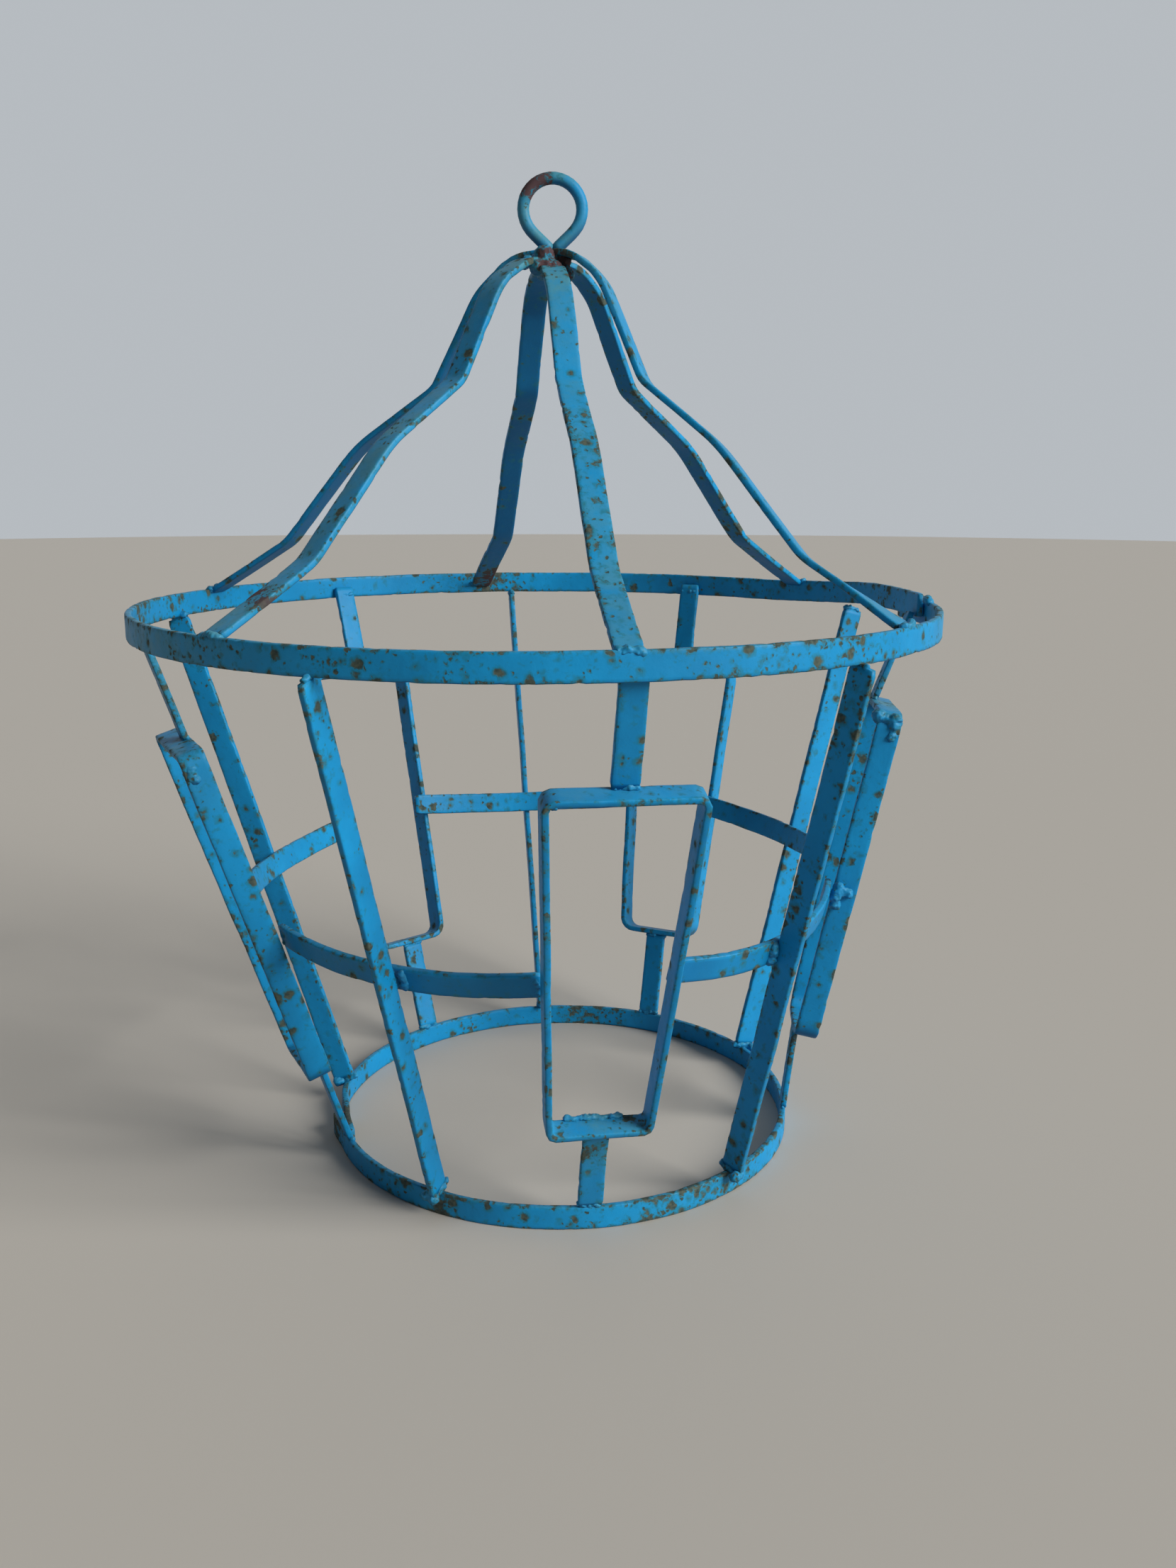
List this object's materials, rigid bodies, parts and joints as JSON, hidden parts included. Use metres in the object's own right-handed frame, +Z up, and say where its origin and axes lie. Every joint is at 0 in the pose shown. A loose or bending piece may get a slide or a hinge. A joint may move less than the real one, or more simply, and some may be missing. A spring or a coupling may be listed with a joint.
{
  "type": "hanging lantern frame",
  "caption": "Open lantern frame welded from flat iron bar: a tapered cage of window frames between hoops, under an ogee crown with a hanging eye.",
  "frame": {"origin": "on the floor under the middle of the top hoop, which is the middle of the outline", "axes": "+Z up through the crown, -Y towards the front window, +X to the right seen from the front"},
  "size_m": [0.334, 0.334, 0.4054],
  "materials": {
    "painted_iron": "satin"
  },
  "bodies": {
    "root": {"hanging_eye": "painted_iron", "crown_strap_front": "painted_iron", "crown_strap_right_front": "painted_iron", "crown_strap_right_back": "painted_iron", "crown_strap_back": "painted_iron", "crown_strap_left_back": "painted_iron", "crown_strap_left_front": "painted_iron", "top_hoop": "painted_iron", "bottom_hoop": "painted_iron", "upright_left_front": "painted_iron", "upright_right_front": "painted_iron", "upright_right_back": "painted_iron", "upright_back": "painted_iron", "upright_left_back": "painted_iron", "window_front": "painted_iron", "window_right": "painted_iron", "window_right_back": "painted_iron", "window_left_back": "painted_iron", "window_left": "painted_iron", "upper_stub_front": "painted_iron", "upper_stub_right": "painted_iron", "upper_stub_right_back": "painted_iron", "upper_stub_left_back": "painted_iron", "upper_stub_left": "painted_iron", "lower_stub_front": "painted_iron", "lower_stub_right": "painted_iron", "lower_stub_right_back": "painted_iron", "lower_stub_left_back": "painted_iron", "lower_stub_left": "painted_iron", "link_left_front": "painted_iron", "link_right_front": "painted_iron", "link_right_back": "painted_iron", "link_back": "painted_iron", "link_left_back": "painted_iron"}
  },
  "joints": []
}
